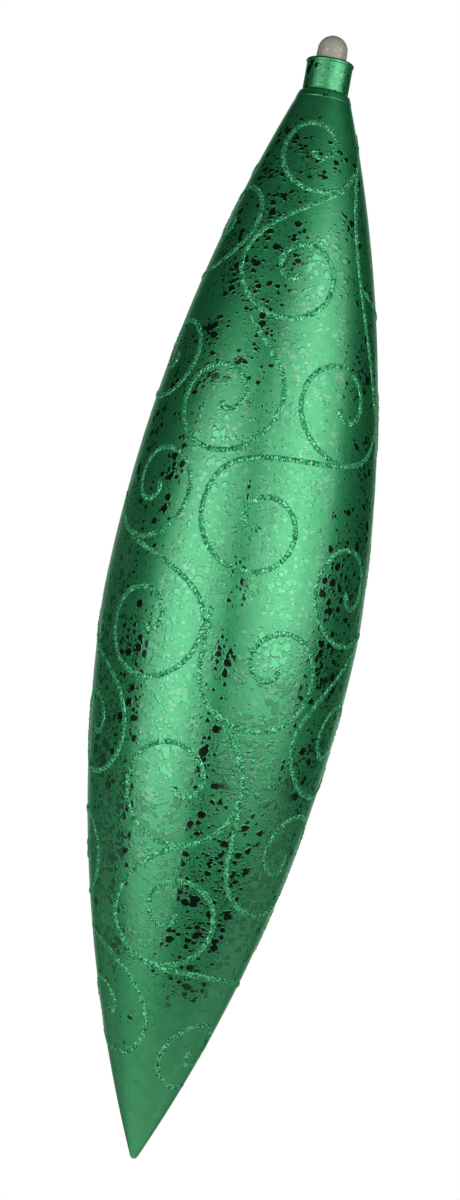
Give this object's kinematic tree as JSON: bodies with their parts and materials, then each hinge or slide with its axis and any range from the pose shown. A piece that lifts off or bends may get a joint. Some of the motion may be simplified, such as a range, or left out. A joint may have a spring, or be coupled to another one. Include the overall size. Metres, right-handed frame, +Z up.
{
  "type": "finial ornament",
  "caption": "Tall finial drop ornament: a tapered hollow body with a metallic mercury-look finish, raised glitter scrolls and a domed push-in plug with a cross hole for hanging it by a cord.",
  "frame": {"origin": "Centre of the cross hole through the domed plug, where a cord holds the ornament.", "axes": "+Z up the axis of the ornament, towards the domed plug; +X along the cross hole; -Y towards the pictured front."},
  "size_m": [0.1399, 0.1399, 0.61],
  "materials": {
    "lacquer": "moulded plastic metallised and lacquered green, with dark smooth spots like old mercury glass",
    "plug": "translucent warm grey plastic with pale specks",
    "glitter": "green glitter flakes set in a raised line of clear glue"
  },
  "bodies": {
    "ornament": {"lower_shell": "lacquer", "upper_shell": "lacquer", "scroll_01": "glitter", "scroll_02": "glitter", "scroll_03": "glitter", "scroll_04": "glitter", "scroll_05": "glitter", "scroll_06": "glitter", "scroll_07": "glitter", "scroll_08": "glitter", "scroll_09": "glitter", "scroll_10": "glitter", "scroll_11": "glitter", "scroll_12": "glitter", "scroll_13": "glitter", "scroll_14": "glitter", "scroll_15": "glitter", "scroll_16": "glitter", "scroll_17": "glitter", "scroll_18": "glitter", "scroll_19": "glitter", "scroll_20": "glitter", "scroll_21": "glitter", "scroll_22": "glitter", "scroll_23": "glitter", "scroll_24": "glitter", "scroll_25": "glitter", "scroll_26": "glitter", "scroll_27": "glitter", "scroll_28": "glitter", "scroll_29": "glitter", "scroll_30": "glitter", "scroll_31": "glitter", "scroll_32": "glitter", "scroll_33": "glitter", "scroll_34": "glitter", "scroll_35": "glitter", "scroll_36": "glitter", "scroll_37": "glitter", "scroll_38": "glitter", "scroll_39": "glitter", "scroll_40": "glitter"},
    "hanger": {"hanger_plug": "plug"}
  },
  "joints": [
    {"name": "plug_pull", "type": "slide", "parent": "ornament", "child": "hanger", "axis": [0, 0, 1], "range_m": [0, 0.03]}
  ]
}
